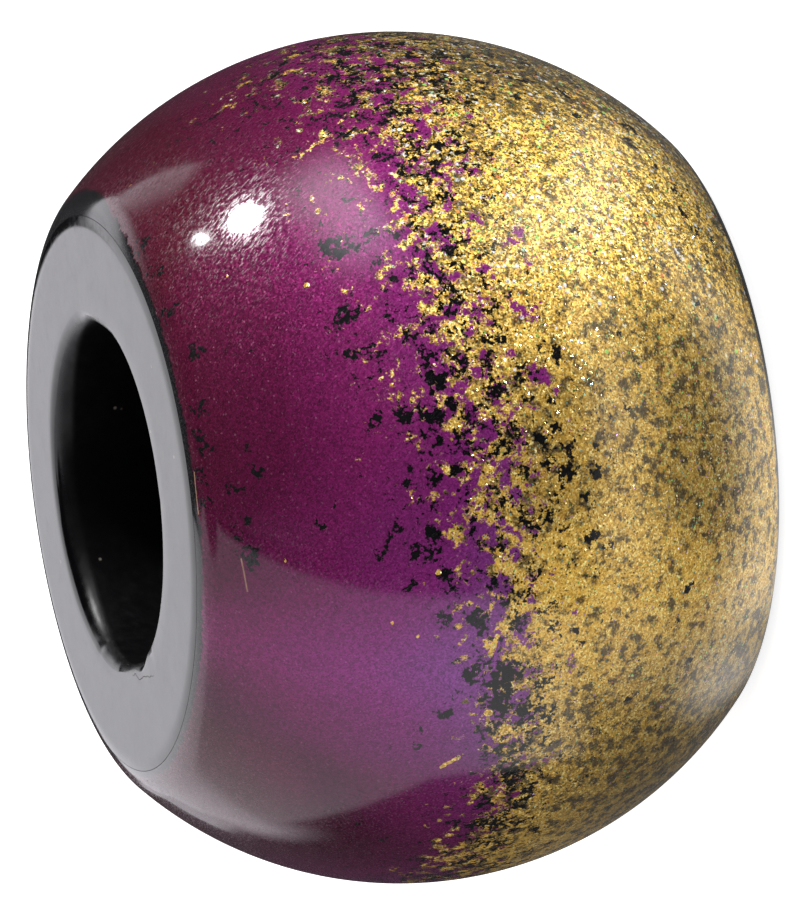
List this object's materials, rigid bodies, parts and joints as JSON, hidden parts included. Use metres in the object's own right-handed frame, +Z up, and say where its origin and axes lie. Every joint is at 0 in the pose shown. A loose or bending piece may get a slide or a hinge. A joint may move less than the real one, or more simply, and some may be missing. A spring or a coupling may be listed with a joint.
{
  "type": "dreadlock bead",
  "caption": "Round barrel-shaped hair bead with a wide bore for a dreadlock, black core under a gloss purple and gold coat.",
  "frame": {"origin": "centre of the lower end face, on the bore's axis", "axes": "+Z up along the bore, from the gold end on the surface to the purple end; the bead is round about +Z"},
  "size_m": [0.02, 0.02, 0.0142],
  "materials": {
    "core": "polished black, high gloss",
    "coat": "purple and gold pearl pigment under a clear gloss coat"
  },
  "bodies": {
    "root": {"core": "core", "coat": "coat"}
  },
  "joints": []
}
